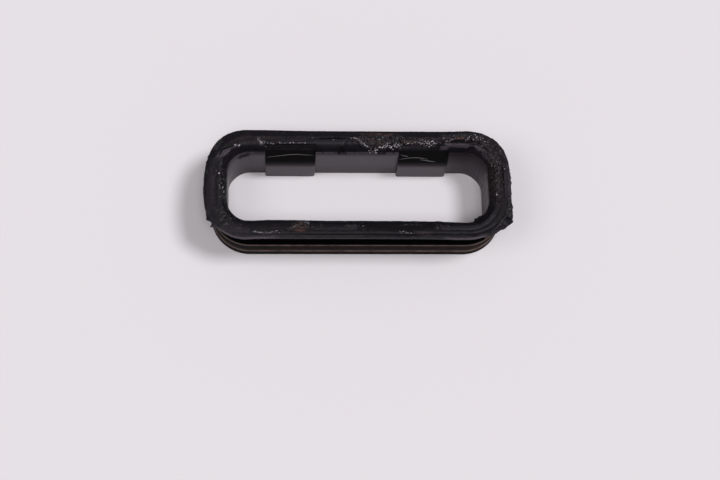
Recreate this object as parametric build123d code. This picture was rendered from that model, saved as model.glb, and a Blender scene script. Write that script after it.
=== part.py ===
from build123d import *
import math
import os

# Perimeter sealing ring of a multi-pin connector: one moulding in soft black rubber.
# The ring lies flat on its base. X is its long axis, Y its depth and Z is up.
# The origin is the middle of the opening, on the base plane. All lengths are in millimetres.
#
# A "reach" is how far a part of the section stands out from the wall of the opening.

# opening that the connector body passes through
opening_length = 43.1
opening_width = 12.1
opening_radius = 3.7

# wall of the ring
ring_height = 10.0
neck_reach = 1.7

# sealing ribs round the outside, from the base up
rib_count = 2
rib_reach = 2.8
rib_height = 1.6
rib_pitch = 2.8
rib_bevel = 0.25

# flange at the top: a thin lip with a bead standing on it, both fuller at the ends
lip_side_reach = 3.4
lip_end_reach = 3.8
lip_end_bow = 1.1
lip_thickness = 0.6
lip_rounding = 0.2
lip_root_drop = 1.4
bead_height = 0.35
bead_inset = 0.65
bead_rounding = 0.22

# closed fold between the bead and the inner band of the top face
fold_reach = 1.95
fold_width = 0.4
fold_depth = 0.3

# funnel where the top face runs down into the opening
funnel_reach = 1.1
funnel_depth = 1.2

# two keying pads on the back wall of the opening
pad_width = 8.4
pad_end_gap = 6.2
pad_proud = 0.78
pad_face_height = 4.0
pad_crown_height = 4.0
pad_corner_rounding = 0.35

# sizes that follow from the ones above
lip_length = opening_length + 2 * lip_end_reach
lip_width = opening_width + 2 * lip_side_reach
lip_radius = opening_radius + lip_side_reach
lip_top = ring_height - bead_height
lip_underside = lip_top - lip_thickness
back_wall = opening_width / 2
pad_centre = opening_length / 2 - pad_end_gap - pad_width / 2
pad_top = pad_face_height + pad_crown_height


def wall_outline(reach):
    """Rounded rectangle that stands out from the opening by the same reach all round."""
    return RectangleRounded(
        opening_length + 2 * reach, opening_width + 2 * reach, opening_radius + reach
    )


def flange_outline(inset):
    """Outline of the lip, moved inwards: straight sides, bowed ends and rounded corners."""
    end = lip_length / 2 - inset
    corner = end - lip_end_bow
    side = lip_width / 2 - inset
    outline = (
        Line((-corner, side), (corner, side))
        + ThreePointArc((corner, side), (end, 0), (corner, -side))
        + Line((corner, -side), (-corner, -side))
        + ThreePointArc((-corner, -side), (-end, 0), (-corner, side))
    )
    face = make_face(outline.edges())
    return fillet(face.vertices(), lip_radius - inset)


def prism(outline, bottom, height, taper=0.0):
    """Straight or tapered solid on an outline, from the level of its bottom."""
    return Pos(0, 0, bottom) * extrude(outline, amount=height, taper=taper)


def rim(disc, top):
    """Edges of the upper or the lower face of a flat disc."""
    levels = disc.faces().sort_by(Axis.Z)
    return (levels[-1] if top else levels[0]).edges()


def make_neck():
    """Plain wall of the ring, up to the underside of the bead."""
    return prism(wall_outline(neck_reach), 0, lip_top)


def make_rib(level):
    """One sealing rib with both rims bevelled."""
    disc = prism(wall_outline(rib_reach), level, rib_height)
    both = rim(disc, top=True) + rim(disc, top=False)
    return chamfer(both, min(rib_bevel, 0.45 * rib_height))


def make_lip():
    """Thin lip, rounded above, whose underside slopes back down to the neck."""
    disc = prism(flange_outline(0), lip_underside, lip_thickness)
    disc = fillet(rim(disc, top=True), min(lip_rounding, 0.9 * lip_thickness))
    slope = math.degrees(math.atan2(lip_end_reach - neck_reach, lip_root_drop))
    root = extrude(flange_outline(0), amount=-lip_root_drop, taper=slope)
    return disc + Pos(0, 0, lip_underside) * root


def make_bead():
    """Raised bead on the lip, filled across to the opening and rounded outside."""
    bottom = lip_top - lip_thickness / 2
    block = prism(flange_outline(bead_inset), bottom, ring_height - bottom)
    return fillet(rim(block, top=True), min(bead_rounding, 0.9 * bead_height))


def make_fold():
    """V-shaped fold that runs all round the top face."""
    slope = math.degrees(math.atan2(fold_width / 2, fold_depth))
    outer = extrude(wall_outline(fold_reach + fold_width / 2), amount=-fold_depth, taper=slope)
    inner = extrude(wall_outline(fold_reach - fold_width / 2), amount=-fold_depth, taper=-slope)
    return Pos(0, 0, ring_height) * (outer - inner)


def make_opening():
    """Straight opening with the funnel at its mouth."""
    bore = prism(wall_outline(0), 0, ring_height)
    slope = math.degrees(math.atan2(funnel_reach, funnel_depth))
    funnel = extrude(wall_outline(funnel_reach), amount=-funnel_depth, taper=slope)
    return bore + Pos(0, 0, ring_height) * funnel


def make_pad(centre):
    """Keying pad: its face is upright below and curves back into the wall above, with rounded corners."""
    face = back_wall - pad_proud
    root = back_wall + neck_reach / 2
    profile = (
        Line((face, 0), (face, pad_face_height))
        + TangentArc((face, pad_face_height), (back_wall, pad_top), tangent=(0, 1))
        + Polyline((back_wall, pad_top), (root, pad_top), (root, 0), (face, 0))
    )
    side = Plane.YZ.offset(centre - pad_width / 2) * make_face(profile.edges())
    pad = extrude(side, amount=pad_width)
    uprights = pad.edges().filter_by(Axis.Z).group_by(Axis.Y)[0]
    return fillet(uprights, min(pad_corner_rounding, 0.9 * pad_proud))


def make_relief(centre):
    """Notch above a pad, where its curved face runs on up into the funnel."""
    profile = Polyline(
        (back_wall - pad_proud, pad_top),
        (back_wall, pad_top),
        (back_wall + funnel_reach, ring_height),
        (back_wall - pad_proud, ring_height),
        close=True,
    )
    side = Plane.YZ.offset(centre - pad_width / 2) * make_face(profile.edges())
    return extrude(side, amount=pad_width)


def make_ring():
    ring = make_neck() + make_lip() + make_bead()
    for index in range(rib_count):
        ring += make_rib(index * rib_pitch)
    ring -= make_opening()
    ring -= make_fold()
    for centre in (-pad_centre, pad_centre):
        ring -= make_relief(centre)
        ring += make_pad(centre)
    return ring


os.makedirs("parts", exist_ok=True)
export_step(make_ring(), "parts/seal_ring.step")
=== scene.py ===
import itertools
import math

import bpy
import numpy as np
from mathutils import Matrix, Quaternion, Vector


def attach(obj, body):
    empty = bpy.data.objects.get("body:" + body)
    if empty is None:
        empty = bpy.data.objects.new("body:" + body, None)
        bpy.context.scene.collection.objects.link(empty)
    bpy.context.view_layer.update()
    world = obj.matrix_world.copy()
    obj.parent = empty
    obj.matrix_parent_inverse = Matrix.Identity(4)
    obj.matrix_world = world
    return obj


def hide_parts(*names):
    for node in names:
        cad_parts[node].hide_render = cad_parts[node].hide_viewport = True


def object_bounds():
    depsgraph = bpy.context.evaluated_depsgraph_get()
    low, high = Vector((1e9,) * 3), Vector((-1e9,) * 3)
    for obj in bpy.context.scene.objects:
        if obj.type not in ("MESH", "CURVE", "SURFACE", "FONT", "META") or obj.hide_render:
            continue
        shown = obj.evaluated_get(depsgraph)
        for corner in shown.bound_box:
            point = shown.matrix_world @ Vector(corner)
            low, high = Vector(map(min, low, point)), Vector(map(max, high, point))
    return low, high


# The looks of a perimeter sealing ring: one moulding in soft black rubber, worn and torn on its top face.
# Lengths are in millimetres, in the frame's own axes, and become metres when a mesh is made.
# A "reach" is how far a point of the section stands out from the wall of the opening.

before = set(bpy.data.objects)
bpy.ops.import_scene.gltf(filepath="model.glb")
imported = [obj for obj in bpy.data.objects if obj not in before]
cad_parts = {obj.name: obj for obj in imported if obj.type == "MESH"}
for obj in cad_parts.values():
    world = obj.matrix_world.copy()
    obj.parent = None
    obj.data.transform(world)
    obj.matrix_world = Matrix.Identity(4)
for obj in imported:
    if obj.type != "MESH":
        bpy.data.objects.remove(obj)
cad_low, cad_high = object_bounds()
MM = 0.001
SEED = 41

# -------- sizes

# The ring has the part's own sizes, but for the crowns of the pads, which are lower here.
lip_length = (cad_high.x - cad_low.x) / MM
lip_width = (cad_high.y - cad_low.y) / MM
ring_height = cad_high.z / MM

lip_side_reach = 3.4
lip_end_reach = 3.8
lip_end_bow = 1.1
opening_length = lip_length - 2 * lip_end_reach
opening_width = lip_width - 2 * lip_side_reach
opening_radius = 3.7
neck_reach = 1.7

rib_reach = 2.8
rib_height = 1.6
rib_pitch = 2.8
rib_bevel = 0.25

bead_height = 0.35
bead_inset = 0.65
bead_rounding = 0.22
lip_top = ring_height - bead_height
lip_thickness = 0.6
lip_rounding = 0.2
lip_root_drop = 1.4
lip_underside = lip_top - lip_thickness

fold_reach = 1.95
fold_width = 0.4
fold_depth = 0.3
funnel_reach = 1.1
funnel_depth = 1.2
funnel_foot = ring_height - funnel_depth

pad_width = 8.4
pad_end_gap = 6.2
pad_proud = 0.78
pad_face_height = 4.0
pad_crown_height = 3.0
pad_corner_rounding = 0.35
pad_top = pad_face_height + pad_crown_height
pad_crown_radius = (pad_crown_height**2 + pad_proud**2) / (2 * pad_proud)
pad_inner_end = opening_length / 2 - pad_end_gap - pad_width
pad_outer_end = opening_length / 2 - pad_end_gap

# wear and softness of the inner wall, pushed outwards unless it leans in
foot_rounding = 0.3
foot_worn = 0.06
worn_from_level = 7.0
back_worn = 0.12
flute_width = 0.6
flute_depth = 0.06
lean_height = 2.5
lean_inwards = 0.14

# thin flash along the parting line of the lip
flash_level = 9.3
flash_thickness = 0.06
flash_root = 0.1

# surface mesh: spacing along the straight sides, columns in a corner, and the angle of a sharp edge
column_gap = 0.14
corner_columns = 68
sharp_from = 34

# rubbing of the top face's edges: rounds of smoothing, and how far each one goes
rubbing_rounds = 14
rubbing_share = 0.6


# -------- repeatable noise


def lattice(cells, seed):
    """Random values from 0 to 1 that depend only on the whole-numbered cell and the seed."""
    x, y, z = (cells[..., k].astype(np.int64) for k in range(3))
    mixed = (x * 73856093) ^ (y * 19349663) ^ (z * 83492791) ^ ((seed + SEED) * 265443576)
    for shift in (13, 16, 11):
        mixed = ((mixed ^ (mixed >> shift)) * 1274126177) & 0x7FFFFFFFFFFF
    return (mixed & 0xFFFFF) / 0xFFFFF


def noise(spots, size, seed, wrap=None):
    """Smooth noise from -1 to 1, with features of the given size. It can repeat along its first axis."""
    scaled = spots / np.asarray(size, float)
    cell = np.floor(scaled)
    part = scaled - cell
    part = part * part * (3 - 2 * part)
    total = 0.0
    for corner in itertools.product((0, 1), repeat=3):
        weight = np.prod(np.where(np.array(corner) == 1, part, 1 - part), axis=-1)
        at = cell + corner
        if wrap:
            at[..., 0] %= wrap
        total = total + weight * lattice(at, seed)
    return 2 * total - 1


def layered(spots, size, seed, layers=3):
    """Noise summed over layers, each half as large and half as strong as the one before."""
    size = np.asarray(size, float)
    return sum(noise(spots, size / 2**k, seed + 7 * k) / 2**k for k in range(layers))


def shards(spots, size, seed):
    """Heights from about -1 to 1 of broken facets that each lean their own way."""
    scaled = spots[..., :2] / size
    cell = np.floor(scaled)
    nearest = np.full(scaled.shape[:-1], 99.0)
    height = np.zeros_like(nearest)
    for offset in itertools.product((-1, 0, 1), repeat=2):
        home = cell + offset
        key = np.concatenate([home, np.zeros_like(home[..., :1])], axis=-1)
        draws = [lattice(key + (0, 0, k), seed) for k in range(5)]
        away = scaled - home - np.stack(draws[:2], axis=-1)
        distance = (away**2).sum(-1)
        lean = (draws[2] - 0.5) * away[..., 0] + (draws[3] - 0.5) * away[..., 1]
        closer = distance < nearest
        nearest = np.where(closer, distance, nearest)
        height = np.where(closer, 1.2 * draws[4] - 0.6 + 1.6 * lean, height)
    return height


def smooth(value, start, end):
    """Rises from 0 to 1 as the value goes from start to end."""
    t = np.clip((value - start) / (end - start), 0, 1)
    return t * t * (3 - 2 * t)


# -------- plan of the ring


def back_wall_stations():
    """Places along the back wall, closer together at the ends of the two pads."""
    half = opening_length / 2 - opening_radius
    even = np.arange(-half, half, column_gap)[1:]
    rounding = pad_corner_rounding * np.array([0.02, 0.12, 0.3, 0.6, 1.0])
    beside = 0.01
    edges = [-half]
    for end, way in ((pad_inner_end, 1), (pad_outer_end, -1)):
        for side in (-1, 1):
            edges += [side * (end - way * beside)]
            edges += list(side * (end + way * rounding))
    edges = np.array(edges)
    clear = np.abs(even[:, None] - edges).min(axis=1) > 0.4 * column_gap
    return np.sort(np.concatenate([even[clear], edges]))[::-1]


def plan():
    """Points round the wall of the opening, anticlockwise from the right end, and their outward normals."""
    half_x = opening_length / 2 - opening_radius
    half_y = opening_width / 2 - opening_radius
    turn = np.linspace(0, math.pi / 2, corner_columns, endpoint=False)
    side = np.arange(-half_x, half_x, column_gap)
    end = np.arange(-half_y, half_y, column_gap)
    points, angles = [], []

    def straight(xs, ys, angle):
        points.append(np.stack(np.broadcast_arrays(xs, ys), axis=-1).astype(float))
        angles.append(np.full(len(points[-1]), angle))

    def corner(cx, cy, start):
        angle = start + turn
        ring = np.stack([np.cos(angle), np.sin(angle)], axis=-1)
        points.append(np.array([cx, cy]) + opening_radius * ring)
        angles.append(angle)

    straight(half_x + opening_radius, end, 0.0)
    corner(half_x, half_y, 0.0)
    straight(back_wall_stations(), half_y + opening_radius, math.pi / 2)
    corner(-half_x, half_y, math.pi / 2)
    straight(-half_x - opening_radius, -end, math.pi)
    corner(-half_x, -half_y, math.pi)
    straight(side, -half_y - opening_radius, 1.5 * math.pi)
    corner(half_x, -half_y, 1.5 * math.pi)
    points = np.concatenate(points)
    angles = np.concatenate(angles)
    normals = np.stack([np.cos(angles), np.sin(angles)], axis=-1)
    return points, normals


def circle_reach(points, normals, centre, radius):
    """How far each point goes along its normal to leave a circle."""
    away = points - np.asarray(centre)
    along = (away * normals).sum(-1)
    return -along + np.sqrt(np.maximum(along**2 - (away**2).sum(-1) + radius**2, 0))


def lip_reach(points, normals):
    """How far the lip stands out at each place: straight sides, bowed ends and rounded corners."""
    side = lip_width / 2
    end = lip_length / 2
    corner_radius = opening_radius + lip_side_reach
    bow_radius = (lip_end_bow**2 + side**2) / (2 * lip_end_bow)
    bow_x = end - bow_radius
    corner_y = side - corner_radius
    corner_x = bow_x + math.sqrt((bow_radius - corner_radius) ** 2 - corner_y**2)
    mirrored = np.abs(points)
    outward = np.abs(normals)
    to_side = np.full(len(points), 99.0)
    facing = outward[:, 1] > 1e-6
    to_side[facing] = (side - mirrored[facing, 1]) / outward[facing, 1]
    to_corner = circle_reach(mirrored, outward, (corner_x, corner_y), corner_radius)
    to_bow = circle_reach(mirrored, outward, (bow_x, 0), bow_radius)
    lands = mirrored + outward * to_corner[:, None] - (corner_x, corner_y)
    bearing = np.arctan2(lands[:, 1], lands[:, 0])
    meets_bow = math.atan2(corner_y, corner_x - bow_x)
    on_corner = (bearing > meets_bow) & (bearing < math.pi / 2)
    return np.where(on_corner, to_corner, np.minimum(to_side, to_bow))


# -------- section of the ring


def rib_stations(name, level):
    """One rib, from its top down, with both rims bevelled."""
    top = level + rib_height
    return [
        (name + "_top", neck_reach, 0, top, 3),
        (name + "_upper_bevel", rib_reach - rib_bevel, 0, top, 2),
        (name + "_face", rib_reach, 0, top - rib_bevel, 3),
        (name + "_lower_bevel", rib_reach, 0, level + rib_bevel, 2),
        (name + "_foot", rib_reach - rib_bevel, 0, level, 2),
        (name + "_root", neck_reach, 0, level, 1),
    ]


def section():
    """Rows round the section, from the foot of the inner wall over the top face and down the outside.

    A row is its plain reach, its share of the lip's reach and its level. A station is a name, a row, and
    how many rows run from there to the next station. The second result gives each station's row number.
    """
    half_fold = fold_width / 2
    stations = [
        ("wall", 0, 0, 0.0, 4),
        ("pad_face_top", 0, 0, pad_face_height, 10),
        ("pad_top", 0, 0, pad_top, 4),
        ("funnel", 0, 0, funnel_foot, 12),
        ("inner_band", funnel_reach, 0, ring_height, 8),
        ("fold", fold_reach - half_fold, 0, ring_height, 3),
        ("fold_bottom", fold_reach, 0, ring_height - fold_depth, 3),
        ("bead", fold_reach + half_fold, 0, ring_height, 7),
        ("bead_edge", -bead_inset - bead_rounding, 1, ring_height, 2),
        ("bead_side", -bead_inset - 0.3 * bead_rounding, 1, ring_height - 0.3 * bead_rounding, 1),
        ("bead_foot", -bead_inset, 1, ring_height - bead_rounding, 1),
        ("ledge", -bead_inset, 1, lip_top, 4),
        ("lip_edge", -lip_rounding, 1, lip_top, 1),
        ("lip_shoulder", -0.3 * lip_rounding, 1, lip_top - 0.3 * lip_rounding, 1),
        ("flash_root", 0, 1, flash_level + flash_root, 1),
        ("flash_top", 0, 1, flash_level + flash_thickness, 1),
        ("flash_tip", 0, 1, flash_level, 1),
        ("flash_foot", 0, 1, flash_level - flash_thickness, 1),
        ("flash_end", 0, 1, flash_level - flash_root, 1),
        ("lip_under", 0, 1, lip_underside, 5),
        ("neck", neck_reach, 0, lip_underside - lip_root_drop, 4),
        *rib_stations("upper_rib", rib_pitch),
        *rib_stations("lower_rib", 0.0),
    ]
    rows, first = [], {}
    following = stations[1:] + stations[:1]
    for (name, a0, b0, z0, count), (_, a1, b1, z1, _) in zip(stations, following):
        first[name] = len(rows)
        for t in np.arange(count) / count:
            rows.append((a0 + (a1 - a0) * t, b0 + (b1 - b0) * t, z0 + (z1 - z0) * t))
    return np.array(rows), first


def pad_crown(level):
    """Reach of the pads' faces where they curve back into the wall, from upright below."""
    rise = np.clip(level - pad_face_height, 0, pad_crown_height)
    return pad_crown_radius - pad_proud - np.sqrt(pad_crown_radius**2 - rise**2)


def pad_relief(level):
    """Reach of the notch above a pad, which runs on up into the funnel."""
    return funnel_reach * (level - pad_top) / (ring_height - pad_top)


def pad_inset():
    """How far each column lies inside the ends of a pad, and below 0 where there is no pad."""
    across = np.abs(points[:, 0])
    inset = np.minimum(across - pad_inner_end, pad_outer_end - across)
    on_back = (normals[:, 1] > 0.999) & (points[:, 1] > 0)
    return np.where(on_back, inset, -1.0)


def pad_above_face(level):
    """Reach of a pad's crown, or of the notch above it."""
    return np.where(level < pad_top, pad_crown(level), pad_relief(level))


def ring_grid():
    """The ring's surface as rows by columns before any wear: positions, and how far each stands out."""
    stand = rows[:, :1] + rows[:, 1:2] * reach
    level = np.repeat(rows[:, 2:3], len(points), axis=1)
    shortfall = np.clip(pad_corner_rounding - pad_inset(), 0, pad_corner_rounding)
    rounded = pad_corner_rounding - np.sqrt(pad_corner_rounding**2 - shortfall**2)
    face = rounded - pad_proud
    crown = np.maximum(face, pad_crown(level))
    pad = np.where(level < pad_face_height, face, np.where(level < pad_top, crown, pad_relief(level)))
    stand = np.where(padded & (row <= first["inner_band"]), pad, stand)
    flat = points + normals * stand[..., None]
    return np.concatenate([flat, level[..., None]], axis=-1), stand


def surface_normals(grid):
    """Unit normals of a grid that closes on itself both ways."""
    along = np.roll(grid, -1, axis=1) - np.roll(grid, 1, axis=1)
    across = np.roll(grid, -1, axis=0) - np.roll(grid, 1, axis=0)
    facing = np.cross(across, along)
    return facing / np.maximum(np.linalg.norm(facing, axis=-1, keepdims=True), 1e-12)


# -------- places of the wear, and of painted highlights and shade

# Patches of the top face: middle x and y, length, width, turn in degrees, strength.
torn_patches = [
    (4.2, 7.7, 11.0, 2.5, 0, 1.0),
    (11.6, 7.6, 5.4, 1.9, 0, 0.9),
    (23.0, 1.8, 3.0, 8.0, 0, 0.55),
    (-16.1, 7.7, 2.6, 1.7, 0, 0.6),
    (17.0, 8.4, 7.0, 1.3, 0, 0.8),
    (21.0, 7.2, 2.6, 1.8, -35, 0.6),
    (-22.9, 6.9, 3.4, 0.7, 45, 0.5),
    (-22.3, 0.0, 2.0, 9.0, 0, 0.45),
    (-22.2, -5.6, 4.5, 2.2, -50, 0.5),
    (-9.6, -7.2, 4.6, 1.6, 0, 0.5),
    (7.5, -8.4, 3.2, 0.8, 0, 0.5),
    (8.6, -7.2, 4.2, 1.0, 0, 0.5),
    (-0.8, -7.3, 4.4, 0.8, 0, 0.35),
    (-14.9, -8.5, 4.4, 0.8, 0, 0.4),
    (24.3, -6.3, 2.0, 6.4, -22, 0.9),
    (22.8, -0.5, 2.2, 10.0, 0, 0.3),
]
calm_patches = [
    (-4.9, 7.3, 7.4, 1.8, 0, 1.0),
    (17.1, 7.1, 7.4, 0.9, -4, 1.0),
    (-20.4, -7.9, 6.0, 1.3, -6, 0.8),
    (-24.3, -0.8, 1.3, 12.0, 0, 0.9),
    (18.5, -7.6, 7.0, 1.6, 8, 0.8),
    (-21.9, 5.3, 3.8, 1.3, 41, 1.0),
    (13.3, -7.2, 1.0, 1.1, 0, 0.6),
]
dusty_patches = [
    (3.4, 8.9, 8.0, 0.5, 0, 0.55),
    (3.0, 7.4, 3.6, 1.0, -25, 0.4),
    (8.6, 7.6, 3.0, 0.7, 0, 0.65),
    (22.9, 0.5, 3.6, 12.0, 0, 0.09),
    (21.5, 7.6, 3.4, 2.4, -40, 0.12),
    (17.1, 8.35, 2.2, 0.6, 0, 1.0),
    (-19.3, 8.0, 4.6, 1.4, 25, 0.2),
    (-14.6, 8.2, 2.0, 0.6, 0, 0.25),
    (-9.8, -8.1, 2.6, 0.5, 0, 3.0),
    (-9.7, -7.4, 2.6, 1.2, 0, 0.6),
    (10.5, -8.7, 3.0, 0.4, 0, 0.5),
]
# Patches painted pale as highlights and sheen, where the rubber catches the lamps' light.
highlight_patches = [
    (24.75, 0.5, 1.1, 9.0, 0, 0.14),
    (-22.1, 5.55, 3.6, 1.1, 41, 0.75),
    (14.4, 6.75, 2.6, 0.8, 22, 1.0),
    (17.0, 7.0, 4.2, 0.7, 0, 0.5),
    (20.2, 6.45, 2.2, 0.6, -32, 0.6),
    (21.5, 5.0, 3.0, 0.4, -55, 0.5),
    (-4.9, 7.3, 7.6, 1.5, 0, 0.07),
    (-24.3, -0.8, 1.3, 12.0, 0, 0.12),
    (-20.4, -7.9, 6.0, 1.2, -6, 0.1),
    (13.3, -7.2, 1.0, 1.1, 0, 0.35),
    (9.9, 7.0, 4.5, 0.4, 4, 0.25),
]
# Patches painted near black as shade: of cracks, folds and holes, and of bands where tilted rubber reflects
# less light.
shade_patches = [
    (-2.55, 6.2, 1.8, 1.5, 0, 1.0),
    (-4.6, 8.08, 7.2, 0.2, 1, 0.9),
    (-21.5, 6.4, 3.2, 0.34, 22, 1.0),
    (-22.6, 5.6, 2.0, 0.3, 60, 0.9),
    (-21.3, 4.5, 3.2, 0.3, 52, 0.8),
    (14.3, 7.5, 2.8, 0.4, 16, 1.0),
    (17.4, 7.68, 5.4, 0.42, -4, 1.0),
    (20.9, 6.8, 3.0, 0.34, -42, 1.0),
    (3.9, 6.05, 1.8, 0.5, 0, 0.8),
    (-9.9, -7.1, 2.6, 0.3, 8, 0.5),
    (24.0, 1.0, 0.5, 8.0, 2, 1.0),
    (8.7, -8.95, 1.4, 0.28, 0, 0.9),
    (20.3, -5.3, 2.8, 0.7, 36, 0.9),
    (23.2, -3.2, 3.0, 9.0, 0, 0.22),
    (6.5, -7.4, 17.0, 2.4, 0, 0.7),
    (-12.0, -7.3, 18.0, 2.2, 0, 0.35),
    (24.6, -6.2, 1.3, 3.6, -25, 0.7),
]
# Swellings and hollows: middle x and y, length, width, turn in degrees, height.
swellings = [
    (-21.9, 5.25, 3.2, 0.9, 41, 0.16),
    (-21.5, 4.7, 2.2, 0.45, 44, -0.14),
    (17.1, 7.05, 7.0, 0.9, -5, 0.14),
    (16.6, 7.78, 6.4, 0.4, 0, -0.22),
    (-3.9, 8.12, 5.6, 0.3, 2, -0.3),
    (-2.0, 7.2, 1.6, 0.3, 55, 0.12),
    (0.2, 7.5, 2.2, 0.7, -42, 0.14),
    (-10.2, -7.2, 3.0, 0.7, 20, 0.08),
    (12.75, -7.2, 1.3, 0.25, 90, -0.1),
    (13.3, -7.2, 1.2, 0.9, 90, 0.07),
    (6.5, -6.9, 17.0, 1.7, 0, -0.2),
]
# Flash on the outside of the lip and on the edge of the opening: x and y, reach, spread.
lip_flash = [
    (-24.35, -5.9, 0.6, 0.5),
    (-24.6, -5.3, 0.3, 0.6),
    (-23.7, -7.0, 0.9, 0.4),
    (17.5, 9.45, 0.2, 3.0),
]
opening_flash = [
    (19.2, -5.75, 0.4, 0.35),
    (19.9, -5.4, 0.42, 0.9),
    (13.1, -6.0, 0.1, 0.7),
    (-21.5, -3.0, 0.12, 0.4),
    (-2.6, 6.0, 0.16, 0.8),
    (3.9, 6.0, 0.1, 0.9),
]
# Edge of the large flash at the front right corner.
large_flash = [
    (25.32, -0.6),
    (25.37, -2.9),
    (25.52, -3.7),
    (25.4, -4.7),
    (25.46, -5.3),
    (25.32, -5.9),
    (25.5, -6.45),
    (24.6, -6.95),
    (23.8, -7.7),
    (23.1, -7.95),
    (22.3, -8.45),
    (21.6, -8.75),
    (20.5, -9.2),
]
# Gentle changes of outline, of the lip and of the opening's front edge: x and y, amount, spread.
lip_swellings = [
    (-16.5, 9.4, 0.13, 5.5),
    (-21.5, 8.6, 0.12, 2.5),
    (20.0, 9.2, 0.12, 3.5),
    (23.6, 7.2, 0.32, 3.0),
    (-24.6, 4.2, -0.22, 2.2),
    (-24.2, -6.2, 0.2, 2.0),
    (25.2, -1.5, 0.1, 3.5),
    (-19.5, -8.8, 0.15, 2.5),
    (17.0, -9.45, 0.15, 4.0),
]
opening_swellings = [
    (-13.0, -6.05, 0.3, 6.0),
    (-3.0, -6.05, 0.15, 8.0),
    (8.0, -6.05, 0.09, 6.0),
    (-20.5, -4.5, 0.05, 3.0),
    (17.5, -5.9, -0.17, 2.5),
]


def patch(spots, x, y, length, width, turn):
    """1 in the middle of an oval patch and 0 outside it, with a ragged edge."""
    angle = math.radians(turn)
    dx = spots[..., 0] - x
    dy = spots[..., 1] - y
    u = (dx * math.cos(angle) + dy * math.sin(angle)) / (length / 2)
    v = (dy * math.cos(angle) - dx * math.sin(angle)) / (width / 2)
    ragged = 0.25 * layered(spots, 0.7, 3)
    return smooth(1 - np.hypot(u, v) + ragged, 0.0, 0.35)


def strongest(patches):
    """The strongest of some patches at each spot of the top face."""
    return np.max([strength * patch(plain, *place) for *place, strength in patches], axis=0)


def around(spots, places):
    """For each place round the ring: its height, and how many of its spreads away each spot is."""
    for x, y, height, spread in places:
        yield height, np.hypot(spots[:, 0] - x, spots[:, 1] - y) / spread


def bumps(spots, places, shape):
    """Sum of pointed bumps round the ring."""
    return sum(height * np.clip(1 - away, 0, 1) ** shape for height, away in around(spots, places))


def bulges(spots, places):
    """Sum of wide smooth bulges round the ring."""
    return sum(height * np.exp(-(away**2)) for height, away in around(spots, places))


def reach_of(line, starts, ways):
    """How far each ray runs to reach a broken line, or 0 where it misses the line."""
    found = np.zeros(len(starts))
    for start, end in zip(np.array(line[:-1]), np.array(line[1:])):
        side = end - start
        offset = start - starts
        facing = ways[:, 0] * side[1] - ways[:, 1] * side[0]
        facing = np.where(np.abs(facing) < 1e-9, 1e-9, facing)
        away = (offset[:, 0] * side[1] - offset[:, 1] * side[0]) / facing
        share = (offset[:, 0] * ways[:, 1] - offset[:, 1] * ways[:, 0]) / facing
        hit = (share >= 0) & (share <= 1) & (away > 0) & (away < 3)
        found = np.where(hit, away, found)
    return found


def streaks(length, width, seed):
    """Fine lines that run along the ring, from -1 to 1."""
    wrap = max(1, round(perimeter / length))
    along = np.broadcast_to(path * wrap / perimeter, stand.shape)
    return noise(np.stack([along, stand / width, 0 * stand], axis=-1), 1.0, seed, wrap)


def at_columns(places, size, seed):
    """Layered noise at one place for each column."""
    return layered(np.column_stack([places, 0 * reach]), size, seed)


# -------- plain ring

# Columns are points round the wall of the opening, and rows are stations round the section. Masks and
# heights are arrays of rows by columns. The plain ring is kept, since wear is placed and measured on it.
points, normals = plan()
reach = lip_reach(points, normals)
rows, first = section()
row = np.arange(len(rows))[:, None]
padded = pad_inset() >= 0
grid, stand = ring_grid()
plain = grid.copy()
level = plain[..., 2]
outer = points + normals * reach[:, None]

# distance travelled to each column along the middle of the wall
middle = points + neck_reach * normals
steps = np.linalg.norm(np.roll(middle, -1, axis=0) - middle, axis=1)
perimeter = steps.sum()
path = np.concatenate([[0], np.cumsum(steps)[:-1]])

# -------- masks of the wear, and of painted highlights and shade


def top_mask():
    """1 on the top face, fading out down the funnel and over the edge of the lip."""
    on_top = (row >= first["funnel"] - 2) & (row < first["flash_root"])
    fade_in = smooth(row, first["funnel"] - 1, first["funnel"] + 4)
    fade_out = 1 - smooth(row, first["lip_edge"] - 1, first["flash_root"])
    return np.where(on_top, fade_in * fade_out, 0) * np.ones_like(stand)


def highlight_and_scratch_mask():
    """Pale: painted highlights and sheen in patches and along the lip's edge at the front corners, and fine
    pale scratches along the front.
    """
    at_front = smooth(-normals[:, 1], 0.5, 0.9)
    pale = strongest(highlight_patches) * top
    on_lip_edge = (row >= first["lip_shoulder"]) & (row <= first["flash_tip"])
    middle_of_front = smooth(points[:, 0], -15.5, -12) * (1 - smooth(points[:, 0], 13, 16))
    highlit_corners = at_front * (1 - middle_of_front)
    pale = np.maximum(pale, on_lip_edge * highlit_corners)
    pale = pale * (1 - smooth(plain[..., 0], 20.0, 21.5) * on_lip_edge)
    in_places = smooth(layered(plain, 2.5, 103), -0.2, 0.6)
    scratched = smooth(streaks(1.3, 0.13, 101), 0.45, 0.85) * in_places
    return np.maximum(pale, 0.42 * scratched * at_front * top)


def on_back_wall(x, height, length, width, turn):
    """A patch of the back wall of the opening, placed along X and by its level."""
    back = smooth(normals[:, 1], 0.3, 0.6) * (row < first["funnel"])
    return patch(plain[..., [0, 2, 1]], x, height, length, width, turn) * back


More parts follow.
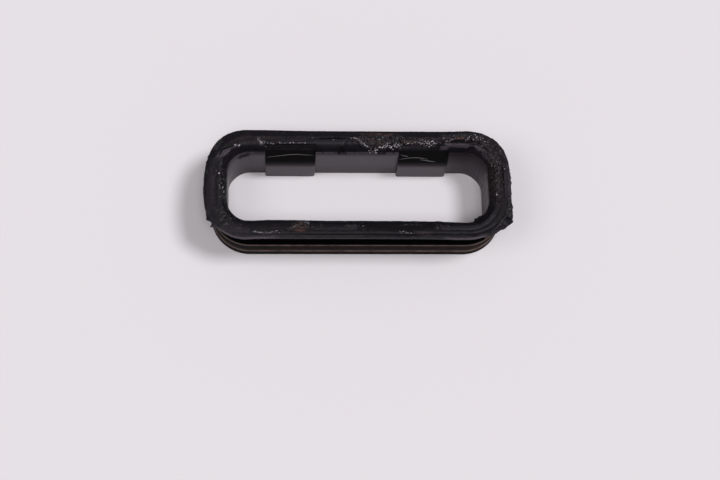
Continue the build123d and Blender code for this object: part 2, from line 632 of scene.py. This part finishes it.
def painted_shade_mask():
    """Painted shade, near black: cracks, folds, holes and dimmer bands of the top face, the pads' crowns, a
    small shadow on the back wall, and a corner of the wall.
    """
    on_top = strongest(shade_patches) * smooth(level, 7.8, 8.4) * (row < first["flash_root"])
    # a small painted shadow high on the back wall near its left end
    spot_shadow = 0.8 * on_back_wall(-18.8, 7.6, 2.4, 1.5, 12)
    # painted shade on the wall towards the right back corner
    at_corner = smooth(plain[..., 0], 14.3, 15.5) * smooth(normals[:, 1], 0.05, 0.5)
    shaded = 0.55 * smooth(level, 1.5, 8.0) * at_corner
    # painted shade on the pads' crowns, which reflect the dark front wall
    crowned = smooth(level, pad_face_height + 0.2, pad_face_height + 2.0) * padded
    on_wall = np.maximum(np.maximum(spot_shadow, shaded), crowned) * (row <= first["funnel"])
    return np.maximum(on_top, on_wall)


def brown_wall_mask():
    """Brown on the wall: a tint along its foot, and a stain near the right back corner."""
    foot = np.exp(-level / 0.5) * (row < first["pad_face_top"])
    return np.maximum(foot, 0.6 * on_back_wall(19.9, 8.0, 1.8, 0.9, 0))


def rib_masks():
    """The brown faces of the ribs, and a painted highlight along their upper rims, with the top of the
    lower rib made paler.
    """
    ribbed = np.zeros_like(stand)
    rim_highlights = np.zeros_like(stand)
    for rib in ("upper_rib", "lower_rib"):
        bevel = first[rib + "_upper_bevel"]
        ribbed += (row > bevel) & (row <= first[rib + "_foot"])
        rim_highlights += row == bevel + 1
    ledge = (row > first["lower_rib_top"]) & (row <= first["lower_rib_upper_bevel"])
    return ribbed, rim_highlights * (0.9 + 0.4 * layered(plain, 1.2, 99)) + 0.35 * ledge


def material_numbers():
    """Which material each face has: 0 the top face, 1 the wall, 2 the outside, 3 the torn parts."""
    # The pads' upper crowns take the top face's material, which paints them near black as shade.
    shaded_crown = padded & (level > pad_face_height + 1.7)
    on_wall = (row < first["funnel"]) & ~shaded_crown
    on_outside = (row > first["lip_under"]) & (row < len(rows) - 1)
    is_torn = (torn > 0.33 + 0.35 * layered(plain, 0.42, 97)) & (dark < 0.5) & (row > first["funnel"])
    return np.select([on_wall, on_outside, is_torn], [1, 2, 3], 0)


top = top_mask()
calm = strongest(calm_patches) * top
torn = strongest(torn_patches) * top * (1 - 0.85 * calm)
dark = painted_shade_mask()
ribbed, rib_highlight = rib_masks()
masks = {
    "torn": torn,
    # dark: painted shade
    "dark": dark,
    # pale: painted highlights and sheen, with pale scratches
    "pale": highlight_and_scratch_mask(),
    "dusty": strongest(dusty_patches) * top,
    "brown_wall": brown_wall_mask(),
    "ribbed": ribbed,
    "rib_highlight": rib_highlight,
    "browned": smooth(plain[..., 0], -17, -9),
}

# -------- wear of the top face


def mend_ledge(heights):
    """The step from the bead down to the lip is nearly lost along the back, where rubber has filled it.

    At the front it is hollowed a little instead.
    """
    at_back = smooth(normals[:, 1], 0.5, 0.95)
    at_front = smooth(-normals[:, 1], 0.5, 0.95)
    at_left = 1 - smooth(points[:, 0], -13, -3)
    on_ledge = (row > first["bead_edge"]) & (row < first["flash_root"])
    lost = (0.1 + 0.65 * np.maximum(at_back, at_left)) * on_ledge
    gentle = ring_height - 0.35 * (stand - reach + bead_inset + bead_rounding) - 0.02
    heights = heights + np.where(heights < gentle, lost * (gentle - heights), 0)
    hollow = np.clip((first["lip_edge"] - row) / 4, 0, 1) * on_ledge * (row >= first["bead_foot"])
    return heights - 0.1 * hollow * at_front


def mend_fold(heights):
    """The fold opens and closes along the ring, and is nearly shut at the back."""
    at_back = smooth(normals[:, 1], 0.3, 0.9)
    at_right = smooth(points[:, 0], 17, 20)
    in_fold = (row >= first["fold"]) & (row < first["bead"])
    shut = np.clip(0.85 + 0.3 * streaks(5.0, 50.0, 61) + 0.4 * at_back - 0.3 * at_right, 0, 1)
    return heights + np.where(in_fold, shut * (ring_height - heights), 0)


def worn_round(grid):
    """Rounds the edges of the top face's section where it has been rubbed, least at the front right."""
    top_rows = (row > first["pad_top"] + 1) & (row < first["lip_edge"])
    uneven = noise(np.column_stack([points, reach]), 4.0, 15)
    rubbed = 0.75 - 0.3 * np.clip(normals[:, 0], 0, 1) + 0.2 * uneven
    rubbed = rubbed - 0.4 * smooth(points[:, 0], -6, 1) * smooth(-points[:, 1], 1.5, 4.0)
    weight = np.where(top_rows, np.clip(rubbed, 0, 0.95), 0)[..., None]
    for _ in range(rubbing_rounds):
        neighbours = (np.roll(grid, 1, axis=0) + np.roll(grid, -1, axis=0)) / 2
        grid = grid + rubbing_share * weight * (neighbours - grid)
    return grid


def worn_height():
    """Height of the wear on the top face, in millimetres along the surface's normal."""
    rough = 1 - 0.8 * calm
    height = 0.035 * layered(plain, 1.5, 11)
    height += 0.014 * rough * streaks(2.5, 0.22, 21)
    height += 0.016 * rough * layered(plain, 0.25, 31, 2)

    # coarser grain and lines at the right end
    ridged = layered(plain, 0.34, 35, 2) + 0.8 * streaks(3.0, 0.3, 37)
    height += 0.03 * smooth(plain[..., 0], 19.5, 22.0) * ridged

    # short strokes down the funnel at the back
    on_slope = (row > first["pad_top"]) & (row <= first["inner_band"] + 1)
    hatched = on_slope * smooth(normals[:, 1], 0.3, 0.9) * (1 - calm)
    height += 0.03 * hatched * streaks(0.45, 8.0, 25)

    # broken facets in the torn parts
    facets = 0.11 * shards(plain, 0.62, 41) + 0.07 * shards(plain, 0.33, 45)
    height += torn * (facets + 0.06 * noise(plain, 0.28, 51))
    for *place, swell in swellings:
        height += swell * patch(plain, *place)
    return height * top


grid[..., 2] = mend_fold(mend_ledge(grid[..., 2]))
grid = worn_round(grid)
grid = grid + surface_normals(grid) * worn_height()[..., None]

# -------- outline of the lip and of the opening


def lip_fullness():
    """How much further the lip stands out than it was moulded, most at the back and least at the right."""
    rightwards = normals[:, 0]
    fuller = 0.18 * normals[:, 1] + 0.12 * np.clip(-rightwards, 0, 1) - 0.05 * np.clip(rightwards, 0, 1)
    return fuller + bulges(outer, lip_swellings)


def lip_raggedness():
    """Fine unevenness of the lip's edge, strongest at the right end."""
    rough = 0.3 + 0.7 * smooth(np.abs(outer[:, 0] + 1), 14, 22)
    rough = rough + 0.9 * smooth(outer[:, 0], 19.5, 22.5)
    return 0.03 * rough * at_columns(outer, 0.5, 71)


def flash_reach(fuller, ragged):
    """How far the torn flash stands out from the lip."""
    small = bumps(outer, lip_flash, 0.9) * (0.8 + 0.35 * at_columns(outer, 0.3, 81))
    small = np.clip(small + 0.01 + 2 * ragged, 0.005, None)
    large = reach_of(large_flash, outer + normals * (fuller + ragged)[:, None], normals)
    large = large + 0.09 * smooth(large, 0.05, 0.4) * at_columns(outer, 0.32, 83)
    return np.maximum(small, large)


def opening_reach():
    """How far the opening's mouth stands inwards: flash on its edge, and swellings that fade downwards."""
    inside = row <= first["inner_band"]
    ragged = bumps(points, opening_flash, 0.7) + 0.02 * np.abs(at_columns(points, 0.4, 91))
    edge = np.exp(-(((grid[..., 2] - funnel_foot) / 0.16) ** 2)) * inside
    near_top = smooth(level, 5.0, funnel_foot) * inside
    return edge * ragged, near_top * bulges(points, opening_swellings)


def wall_wear():
    """How far the inner wall is worn or fluted outwards, less the inward lean of the back wall's foot."""
    at_foot = row < first["pad_face_top"]
    rise = np.clip(1 - level / foot_rounding, 0, 1) * at_foot
    share = np.clip((level - worn_from_level) / (funnel_foot - worn_from_level), 0, 1)
    worn_top = share * (row <= first["funnel"])
    at_back = np.where(padded, 0.0, back_worn * smooth(normals[:, 1], -0.2, 0.6))
    fluted = smooth(points[:, 0], 19.6, 21.0) * noise(path[:, None] * (1, 0, 0), flute_width, 27)
    flutes = flute_depth * fluted * (row < first["funnel"]) * (row > 0)
    lean = lean_inwards * np.clip(1 - level / lean_height, 0, 1) * at_foot
    lean = lean * np.where(padded, 0.0, smooth(normals[:, 1], 0.2, 0.8))
    return foot_worn * rise**2 + at_back * worn_top**2 + flutes - lean


lip_rows = smooth(row, first["bead_side"], first["lip_edge"])
lip_rows = lip_rows * (1 - smooth(row, first["lip_under"], first["neck"]))
on_tip = row == first["flash_tip"]
beside_tip = (row == first["flash_top"]) | (row == first["flash_foot"])
fin = np.select([on_tip, beside_tip], [1.0, 0.75], 0.0)
fuller = lip_fullness()
ragged = lip_raggedness()
flash = flash_reach(fuller, ragged)
edge_in, swollen_in = opening_reach()
outwards = lip_rows * (fuller + ragged) + fin * flash - edge_in - swollen_in
grid[..., :2] += normals * outwards[..., None]
grid[..., 2] += fin * (0.3 * flash * at_columns(outer, 0.6, 95))
grid[..., :2] += normals * wall_wear()[..., None]

# -------- meshes


def new_mesh(name, verts, faces, *materials):
    """Mesh of faces between points in millimetres."""
    mesh = bpy.data.meshes.new(name)
    mesh.from_pydata((np.array(verts) * MM).tolist(), [], faces)
    for material in materials:
        mesh.materials.append(material)
    return mesh


def add_to_scene(name, data):
    """Puts a mesh, a lamp or a camera in the scene."""
    made = bpy.data.objects.new(name, data)
    bpy.context.scene.collection.objects.link(made)
    return made


def add_piece(mesh):
    """Puts a mesh in the scene as part of the ring, under its own name."""
    piece = add_to_scene(mesh.name, mesh)
    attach(piece, "root")
    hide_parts("seal_ring")


# -------- rubber


def feed(tree, socket, value):
    """Links a socket to another node, or sets its own value."""
    if isinstance(value, bpy.types.NodeSocket):
        tree.links.new(value, socket)
    else:
        socket.default_value = value


def scaled(tree, value, factor, added=0.0):
    """The value times the factor, plus what is added. Each can be a socket or a number."""
    made = tree.nodes.new("ShaderNodeMath")
    made.operation = "MULTIPLY_ADD"
    for socket, number in zip(made.inputs, (value, factor, added)):
        feed(tree, socket, number)
    return made.outputs[0]


def between(tree, amount, a, b):
    """Colour a where the amount is 0 and colour b where it is 1."""
    made = tree.nodes.new("ShaderNodeMix")
    made.data_type = "RGBA"
    feed(tree, made.inputs[0], amount)
    feed(tree, made.inputs[6], a)
    feed(tree, made.inputs[7], b)
    return made.outputs[2]


def step(tree, value, low, high):
    """Rises from 0 to 1 as the value goes from low to high."""
    made = tree.nodes.new("ShaderNodeMapRange")
    made.interpolation_type = "SMOOTHSTEP"
    feed(tree, made.inputs["Value"], value)
    made.inputs["From Min"].default_value = low
    made.inputs["From Max"].default_value = high
    return made.outputs["Result"]


def grain(tree, size, detail=2.0):
    """Noise from 0 to 1 with features of the given size in millimetres."""
    place = tree.nodes.new("ShaderNodeTexCoord")
    made = tree.nodes.new("ShaderNodeTexNoise")
    made.inputs["Scale"].default_value = 1 / (size * MM)
    made.inputs["Detail"].default_value = detail
    tree.links.new(place.outputs["Object"], made.inputs["Vector"])
    return made.outputs["Fac"]


def mask(tree, name):
    """A mask stored on the mesh."""
    made = tree.nodes.new("ShaderNodeAttribute")
    made.attribute_name = name
    return made.outputs["Fac"]


def raised(tree, height, depth, strength, under=None):
    """Bump of the given depth in millimetres."""
    made = tree.nodes.new("ShaderNodeBump")
    made.inputs["Distance"].default_value = depth * MM
    feed(tree, made.inputs["Strength"], strength)
    feed(tree, made.inputs["Height"], height)
    if under:
        tree.links.new(under, made.inputs["Normal"])
    return made.outputs["Normal"]


# The default tint colours the reflections violet, a painted cast of the lamps' light.
def new_material(name, shine, look, tint=(1.0, 0.93, 1.0, 1)):
    """A material. Its look gives the colour, the roughness and, where it has one, the bump."""
    material = bpy.data.materials.new(name)
    material.use_nodes = True
    tree = material.node_tree
    shader = tree.nodes["Principled BSDF"]
    shader.inputs["Specular IOR Level"].default_value = shine
    shader.inputs["Specular Tint"].default_value = tint
    for socket, value in zip(("Base Color", "Roughness", "Normal"), look(tree)):
        feed(tree, shader.inputs[socket], value)
    return material


def dusted(tree, colour, fine):
    """The colour with brown dust over it."""
    speckled = scaled(tree, step(tree, fine, 0.46, 0.6), 0.85, 0.15)
    return between(tree, scaled(tree, mask(tree, "dusty"), speckled), colour, (0.080, 0.036, 0.024, 1))


def top_look(tree):
    """The worn top face: near black, greyer where whole, with dust, pale scratches, painted highlights and
    sheen, and painted shade.
    """
    fine = grain(tree, 0.2, 3.0)
    dark = mask(tree, "dark")
    colour = between(tree, grain(tree, 1.6, 4.0), (0.0016, 0.0010, 0.0024, 1), (0.0046, 0.0034, 0.0062, 1))
    colour = between(tree, mask(tree, "torn"), colour, (0.0016, 0.0010, 0.0022, 1))
    # pale: painted highlights and sheen, and pale scratches
    colour = between(tree, mask(tree, "pale"), colour, (0.070, 0.054, 0.072, 1))
    # near black: painted shade
    colour = between(tree, dark, dusted(tree, colour, fine), (0.0003, 0.0002, 0.0003, 1))
    rough = scaled(tree, fine, 0.2, scaled(tree, dark, 0.5, 0.42))
    surface = raised(tree, grain(tree, 0.1, 3.0), 0.03, 0.5)
    rough_patches = step(tree, grain(tree, 2.2), 0.42, 0.6)
    return colour, rough, raised(tree, grain(tree, 0.22), 0.07, rough_patches, surface)


def torn_look(tree):
    """Torn parts of the top face: black, glossy and rough as broken stone, with dull patches."""
    fine = grain(tree, 0.2, 3.0)
    broken = step(tree, fine, 0.4, 0.7)
    colour = between(tree, broken, (0.0008, 0.0005, 0.0010, 1), (0.0065, 0.0048, 0.0062, 1))
    dulled = step(tree, grain(tree, 0.9), 0.45, 0.6)
    rough = scaled(tree, fine, 0.2, scaled(tree, dulled, 0.45, 0.12))
    surface = raised(tree, grain(tree, 0.6), 0.45, 0.8)
    return dusted(tree, colour, fine), rough, raised(tree, grain(tree, 0.22), 0.2, 1.0, surface)


def wall_look(tree):
    """The walls of the opening: satin, and painted lighter and more violet than the top face's rubber, as a
    reflection of the pale floor.
    """
    fine = grain(tree, 0.3, 3.0)
    dark = mask(tree, "dark")
    # lighter violet base: a painted reflection of the pale floor
    colour = between(tree, grain(tree, 2.5, 3.0), (0.0160, 0.0078, 0.0166, 1), (0.0224, 0.0116, 0.0232, 1))
    # brown: a tint along the wall's foot, and a stain near the right back corner
    colour = between(tree, mask(tree, "brown_wall"), colour, (0.035, 0.012, 0.008, 1))
    # near black: painted shade
    colour = between(tree, dark, colour, (0.0006, 0.0004, 0.0006, 1))
    rough = scaled(tree, fine, 0.14, scaled(tree, dark, 0.5, 0.34))
    return colour, rough, raised(tree, grain(tree, 0.12), 0.015, 0.4)


def outside_look(tree):
    """The outside of the ring: dull, with brown dust on the ribs' faces, a painted highlight along their
    upper rims, and painted shade, near black, in the neck under the lip and on the ribs' tops.
    """
    fine = grain(tree, 0.25, 3.0)
    patchy = step(tree, grain(tree, 3.0, 4.0), 0.3, 0.7)
    brown = between(tree, patchy, (0.0070, 0.0030, 0.0034, 1), (0.0170, 0.0068, 0.0062, 1))
    brown = between(tree, mask(tree, "browned"), (0.0040, 0.0038, 0.0040, 1), brown)
    brown = between(tree, scaled(tree, fine, 0.5), brown, (0.004, 0.0022, 0.0022, 1))
    # near black: painted shade in the neck under the lip and on the ribs' tops
    colour = between(tree, mask(tree, "ribbed"), (0.0008, 0.0007, 0.0008, 1), brown)
    # pale: a painted highlight along the ribs' upper rims, and a paler top of the lower rib
    colour = between(tree, mask(tree, "rib_highlight"), colour, (0.16, 0.118, 0.108, 1))
    return colour, scaled(tree, fine, 0.2, 0.6), raised(tree, grain(tree, 0.15, 3.0), 0.03, 0.5)


def flake_look(tree):
    """Fresh torn edges: smooth and shiny, and painted paler than the rubber as part of their glint."""
    fine = grain(tree, 0.3)
    colour = between(tree, fine, (0.016, 0.011, 0.018, 1), (0.060, 0.045, 0.056, 1))
    return colour, scaled(tree, fine, 0.16, 0.2)


def crease_look(tree):
    """Creases of the pads: smooth, and painted pale as a highlight along their ridges."""
    return (0.085, 0.078, 0.085, 1), 0.35


materials = [
    new_material("black_rubber", 0.24, top_look),
    new_material("satin_rubber", 0.42, wall_look),
    new_material("dull_rubber", 0.05, outside_look),
    new_material("torn_rubber", 0.44, torn_look),
]
flake_glint_rubber = new_material("flake_glint_rubber", 0.5, flake_look)
crease_highlight_rubber = new_material("crease_highlight_rubber", 0.5, crease_look)


def ring_mesh():
    """The worn ring: its grid closes on itself both ways, and carries the masks."""
    here = np.arange(stand.size).reshape(stand.shape)
    right = np.roll(here, -1, axis=1)
    above = np.roll(here, -1, axis=0)
    both = np.roll(right, -1, axis=0)
    quads = np.stack([here, above, both, right], axis=-1).reshape(-1, 4)
    mesh = new_mesh("ring_body", grid.reshape(-1, 3), quads.tolist(), *materials)
    for name, values in masks.items():
        layer = mesh.attributes.new(name, "FLOAT", "POINT")
        layer.data.foreach_set("value", values.reshape(-1).astype(np.float32))
    mesh.polygons.foreach_set("material_index", material_numbers().reshape(-1).astype(np.int32))
    mesh.shade_smooth()
    mesh.set_sharp_from_angle(angle=math.radians(sharp_from))
    return mesh


add_piece(ring_mesh())

# -------- torn flakes

# Flakes that stand up from the top face, in groups along a line: the line's points, how far they stray
# from it, how many, a flake's length, width and direction in degrees, and how much their leans differ.
bright, mixed, dull = 0.08, 0.16, 0.3
flake_thickness = 0.05
flake_flare = 1.15       # how much wider a flake's underside is than its top
flake_rise = 0.02
flake_corners = 6
flake_lean = np.array([0.22, -0.16, 0.96])       # bright flakes lean so that they shine from above
flake_groups = [
    (((-16.8, 8.0), (-15.9, 7.3), (-14.6, 7.2)), 0.16, 16, 0.3, 0.14, 60, mixed),
    (((-16.6, 7.9), (-15.8, 7.2)), 0.1, 6, 0.36, 0.16, 70, bright),
    (((-14.9, 7.25), (-13.9, 7.2)), 0.04, 5, 0.32, 0.14, 85, bright),
    (((-13.2, 7.28), (-8.5, 7.3)), 0.015, 16, 0.24, 0.13, 85, bright),
    (((-20.2, 6.6), (-19.5, 7.05)), 0.06, 3, 0.8, 0.18, 34, bright),
    (((-20.4, 6.75), (-19.9, 7.1)), 0.05, 2, 0.5, 0.12, 34, bright),
    (((-22.9, 1.78), (-22.9, 1.8)), 0.01, 1, 0.3, 0.24, 20, bright),
    (((-7.5, 8.19), (-7.4, 8.19)), 0.02, 1, 0.34, 0.2, 0, mixed),
    (((-6.5, 7.84), (-6.4, 7.84)), 0.02, 1, 0.36, 0.22, 0, mixed),
    (((-4.2, 7.85), (-4.0, 7.85)), 0.02, 2, 0.34, 0.2, 0, mixed),
    (((-3.0, 8.3), (-1.6, 8.35)), 0.06, 4, 0.3, 0.1, 10, mixed),
    (((-1.9, 7.9), (-2.6, 7.0)), 0.03, 5, 0.4, 0.13, 55, mixed),
    (((-2.9, 5.98), (-2.0, 5.98)), 0.02, 3, 0.4, 0.1, 0, mixed),
    (((-0.9, 8.2), (0.3, 7.9)), 0.08, 9, 0.5, 0.14, -20, bright),
    (((0.3, 7.9), (1.0, 7.2), (1.8, 6.6)), 0.14, 12, 0.45, 0.14, -45, bright),
    (((1.8, 6.6), (2.6, 6.2), (3.4, 6.6), (5.0, 7.0)), 0.16, 34, 0.44, 0.15, 35, bright),
    (((4.5, 7.0), (7.4, 7.0)), 0.2, 34, 0.46, 0.14, 60, bright),
    (((0.5, 8.2), (7.5, 7.9)), 0.35, 40, 0.26, 0.11, 10, dull),
    (((2.0, 6.0), (4.2, 6.0)), 0.05, 7, 0.34, 0.1, 0, mixed),
    (((7.6, 7.4), (10.0, 7.4)), 0.18, 14, 0.32, 0.12, 20, mixed),
    (((10.0, 7.9), (11.0, 8.0)), 0.18, 12, 0.34, 0.12, 30, mixed),
    (((10.6, 7.3), (13.2, 7.35)), 0.16, 26, 0.44, 0.14, 40, bright),
    (((9.8, 6.95), (13.0, 7.0)), 0.04, 9, 0.55, 0.09, 3, mixed),
    (((0.0, 8.7), (8.0, 8.6)), 0.3, 24, 0.2, 0.1, -20, dull),
    (((13.6, 7.1), (14.8, 7.2)), 0.12, 6, 0.45, 0.16, 15, mixed),
    (((14.3, 8.35), (14.5, 8.3)), 0.04, 2, 0.3, 0.2, 0, bright),
    (((14.6, 7.7), (16.2, 8.05)), 0.06, 10, 0.34, 0.14, 25, mixed),
    (((18.0, 8.0), (18.8, 8.5)), 0.06, 5, 0.5, 0.14, 65, bright),
    (((19.1, 8.0), (20.1, 8.6)), 0.06, 5, 0.6, 0.15, 75, bright),
    (((16.8, 8.8), (20.6, 8.6)), 0.2, 14, 0.22, 0.11, 40, dull),
    (((20.9, 7.5), (21.0, 7.5)), 0.02, 1, 0.3, 0.2, 0, bright),
    (((20.5, 6.9), (20.6, 6.9)), 0.02, 1, 0.3, 0.2, 0, bright),
    (((20.4, 7.5), (22.0, 6.3)), 0.3, 12, 0.2, 0.11, 0, dull),
    (((21.0, 6.2), (24.4, 3.5)), 0.05, 16, 0.5, 0.08, -38, mixed),
    (((20.8, 5.8), (22.4, 3.4)), 0.05, 12, 0.5, 0.08, -55, dull),
    (((-22.4, -0.2), (-22.1, -1.8)), 0.08, 4, 0.5, 0.12, 70, bright),
    (((-22.9, 3.5), (-22.3, -3.5)), 0.35, 12, 0.24, 0.11, 75, mixed),
    (((-22.0, -4.6), (-20.6, -6.4)), 0.3, 7, 0.24, 0.1, -40, mixed),
    (((-17.3, -8.35), (-14.6, -8.6)), 0.06, 24, 0.6, 0.1, -3, mixed),
    (((-15.6, -8.6), (-13.0, -8.35)), 0.1, 20, 0.5, 0.12, 10, mixed),
    (((-11.2, -8.0), (-9.8, -6.8), (-8.6, -6.8)), 0.15, 14, 0.5, 0.09, 20, dull),
    (((-8.9, -6.6), (-8.2, -6.9)), 0.08, 5, 0.5, 0.12, 20, mixed),
    (((-3.0, -7.3), (1.2, -7.3)), 0.05, 10, 0.4, 0.08, 0, dull),
    (((-0.9, -7.1), (-0.5, -7.2)), 0.03, 2, 0.3, 0.16, 0, mixed),
    (((6.8, -7.3), (7.6, -6.9), (10.4, -7.1)), 0.1, 14, 0.45, 0.12, 15, dull),
    (((6.5, -8.3), (8.6, -8.6)), 0.06, 10, 0.45, 0.09, -5, mixed),
    (((12.8, -6.8), (12.8, -7.7)), 0.02, 4, 0.4, 0.1, 90, dull),
    (((13.0, -6.9), (14.8, -7.5)), 0.15, 7, 0.3, 0.14, 0, dull),
    (((16.95, -8.9), (16.97, -8.85)), 0.01, 1, 0.35, 0.1, 90, mixed),
    (((23.4, 4.5), (24.2, 0.0), (24.3, -4.0)), 0.35, 10, 0.18, 0.09, 80, dull),
    (((25.0, 3.5), (25.1, 0.0), (25.2, -4.5)), 0.08, 18, 0.16, 0.1, 80, mixed),
    (((24.9, -4.2), (24.5, -6.2), (23.0, -7.9)), 0.15, 10, 0.2, 0.1, -50, dull),
    (((19.8, 8.7), (22.2, 7.5), (23.6, 5.8)), 0.3, 34, 0.3, 0.12, -45, mixed),
    (((23.6, 4.0), (23.4, -2.0)), 0.45, 20, 0.24, 0.1, 80, mixed),
]


def flake(centre, facing, length, width, turn, draw):
    """One thin plate with an uneven outline: its points and faces."""
    facing = facing / np.linalg.norm(facing)
    along = np.array([math.cos(turn), math.sin(turn), 0.0])
    along = along - facing * (along @ facing)
    along = along / np.linalg.norm(along)
    across = np.cross(facing, along)
    count = flake_corners
    angles = np.arange(count) / count * 2 * math.pi
    size = draw.uniform(0.7, 1.15, count)
    u = (length / 2 * size * np.cos(angles))[:, None] * along
    v = (width / 2 * size * np.sin(angles))[:, None] * across
    top_ring = centre + u + v
    low_ring = centre + flake_flare * (u + v) - facing * flake_thickness
    sides = [(k, k + count, (k + 1) % count + count, (k + 1) % count) for k in range(count)]
    faces = [tuple(range(count)), tuple(range(2 * count - 1, count - 1, -1)), *sides]
    return np.concatenate([top_ring, low_ring]), faces


def along_line(line, share):
    """Point at a share of the way along a line of points."""
    line = np.array(line, float)
    lengths = np.linalg.norm(np.diff(line, axis=0), axis=1)
    travelled = np.concatenate([[0], np.cumsum(lengths)])
    return np.array([np.interp(share * travelled[-1], travelled, axis) for axis in line.T])


def flake_mesh():
    """All the torn flakes, standing on the worn top face."""
    draw = np.random.default_rng(SEED)
    surface = grid[first["funnel"]:first["flash_root"]].reshape(-1, 3)
    verts, faces = [], []
    for line, stray, count, length, width, turn, spread in flake_groups:
        for k in range(count):
            spot = along_line(line, (k + draw.uniform(0.1, 0.9)) / count) + draw.normal(0, stray, 2)
            nearest = surface[np.argmin(((surface[:, :2] - spot) ** 2).sum(-1))]
            facing = flake_lean + draw.normal(0, spread, 3) * (1, 1, 0)
            scale = draw.uniform(0.6, 1.3)
            way = math.radians(turn) + draw.normal(0, 0.35)
            centre = nearest + (0, 0, flake_rise)
            ring, sides = flake(centre, facing, length * scale, width * scale, way, draw)
            faces += [tuple(corner + len(verts) for corner in face) for face in sides]
            verts += ring.tolist()
    return new_mesh("torn_flakes", verts, faces, flake_glint_rubber)


add_piece(flake_mesh())

# -------- creases of the pads

crease_radius = 0.07
crease_depth = 0.01
crease_tip = 0.02
crease_sides = 6
crease_points = 60
crease_softening = 12
# Wavy creases above the pads' faces: places along X and their levels.
crease_lines = [
    ((-15.2, 6.87), (-13.3, 7.14), (-11.5, 7.48), (-9.7, 7.57), (-8.8, 7.4), (-7.2, 7.4)),
    ((7.1, 6.55), (8.4, 6.8), (9.7, 6.95), (10.9, 6.85), (12.0, 6.6)),
    ((10.6, 6.55), (11.6, 6.35), (13.4, 6.0)),
    ((7.3, 7.6), (7.8, 7.3), (8.6, 7.2)),
]


def crease_mesh():
    """Thin raised lines that run along the pads' crowns."""
    sides = crease_sides
    verts, faces = [], []
    for line in crease_lines:
        xs, levels = np.array(line).T
        x = np.linspace(xs[0], xs[-1], crease_points)
        z = np.interp(x, xs, levels)
        for _ in range(crease_softening):
            z[1:-1] = (z[:-2] + z[2:]) / 2
        spine = np.stack([x, opening_width / 2 + pad_above_face(z) - crease_depth, z], axis=-1)
        thick = crease_radius * np.sqrt(np.sin(np.linspace(crease_tip, math.pi - crease_tip, len(x))))
        start = len(verts)
        for point, radius in zip(spine, thick):
            for k in range(sides):
                angle = 2 * math.pi * k / sides
                verts.append(point + radius * np.array([0, math.cos(angle), math.sin(angle)]))
        for j in range(len(x) - 1):
            for k in range(sides):
                a = start + j * sides + k
                b = start + j * sides + (k + 1) % sides
                faces.append((a, b, b + sides, a + sides))
        faces.append(tuple(range(start + sides - 1, start - 1, -1)))
        faces.append(tuple(range(len(verts) - sides, len(verts))))
    mesh = new_mesh("pad_creases", verts, faces, crease_highlight_rubber)
    mesh.shade_smooth()
    return mesh


add_piece(crease_mesh())

# -------- stage

floor_size = 3000
full_light = 3.07        # light on the floor at which its colour renders as it is written
world_share = 0.19
backdrop_strength = 0.8

# The camera looks at a point of the floor. Its azimuth is from +X towards +Y, as the lamps' are.
camera_aim = Vector((0.668, -6.230, 0.0))
camera_azimuth = -99.309
camera_elevation = 70.167
camera_roll = 8.8745
camera_distance = 277.46
camera_lens = 82.04
camera_sensor = 36


def direction(azimuth, elevation):
    """Unit vector towards an azimuth and an elevation in degrees."""
    a = math.radians(azimuth)
    e = math.radians(elevation)
    return Vector((math.cos(a) * math.cos(e), math.sin(a) * math.cos(e), math.sin(e)))


def look_along(thing, backwards, roll=0.0):
    """Turns a lamp or a camera so that it looks away from a direction."""
    turned = (-backwards).to_track_quat("-Z", "Y")
    thing.rotation_mode = "QUATERNION"
    thing.rotation_quaternion = turned @ Quaternion((0, 0, 1), math.radians(roll))


def paper_look(tree):
    """Plain pale paper."""
    return (0.806, 0.764, 0.80, 1), 0.9


def pale_floor():
    """The table under the ring."""
    half = floor_size / 2
    corners = [(-half, -half, 0), (half, -half, 0), (half, half, 0), (-half, half, 0)]
    paper = new_material("pale_floor", 0.1, paper_look, (1, 1, 1, 1))
    add_to_scene("floor", new_mesh("floor", corners, [(0, 1, 2, 3)], paper))


def softbox(name, azimuth, elevation, width, share):
    """Soft lamp far away: its width is an angle, and its share is that of the floor's light."""
    data = bpy.data.lights.new(name, "SUN")
    data.energy = share * full_light / math.sin(math.radians(elevation))
    data.angle = math.radians(width)
    look_along(add_to_scene(name, data), direction(azimuth, elevation))


def studio_world():
    """Even light from all round, and a pale backdrop where the camera sees past the floor."""
    world = bpy.data.worlds.new("studio")
    world.use_nodes = True
    tree = world.node_tree
    seen = tree.nodes.new("ShaderNodeLightPath")
    strength = tree.nodes.new("ShaderNodeMapRange")
    strength.inputs["To Min"].default_value = world_share * full_light / math.pi
    strength.inputs["To Max"].default_value = backdrop_strength
    tree.links.new(seen.outputs["Is Camera Ray"], strength.inputs["Value"])
    tree.links.new(strength.outputs[0], tree.nodes["Background"].inputs["Strength"])
    tree.nodes["Background"].inputs["Color"].default_value = (1.0, 0.985, 1.0, 1)
    bpy.context.scene.world = world


def add_camera():
    """The camera at the photo's side."""
    data = bpy.data.cameras.new("camera")
    data.lens = camera_lens
    data.sensor_width = camera_sensor
    data.clip_start = 0.01
    data.clip_end = 20
    camera = add_to_scene("camera", data)
    backwards = direction(camera_azimuth, camera_elevation)
    camera.location = (camera_aim + backwards * camera_distance) * MM
    look_along(camera, backwards, camera_roll)
    bpy.context.scene.camera = camera


pale_floor()
softbox("key_lamp", 4, 63, 17, 0.46)
softbox("front_lamp", 272, 69, 22, 0.23)
softbox("left_lamp", 203, 55, 30, 0.13)
studio_world()
add_camera()
bpy.context.scene.view_settings.view_transform = "Standard"
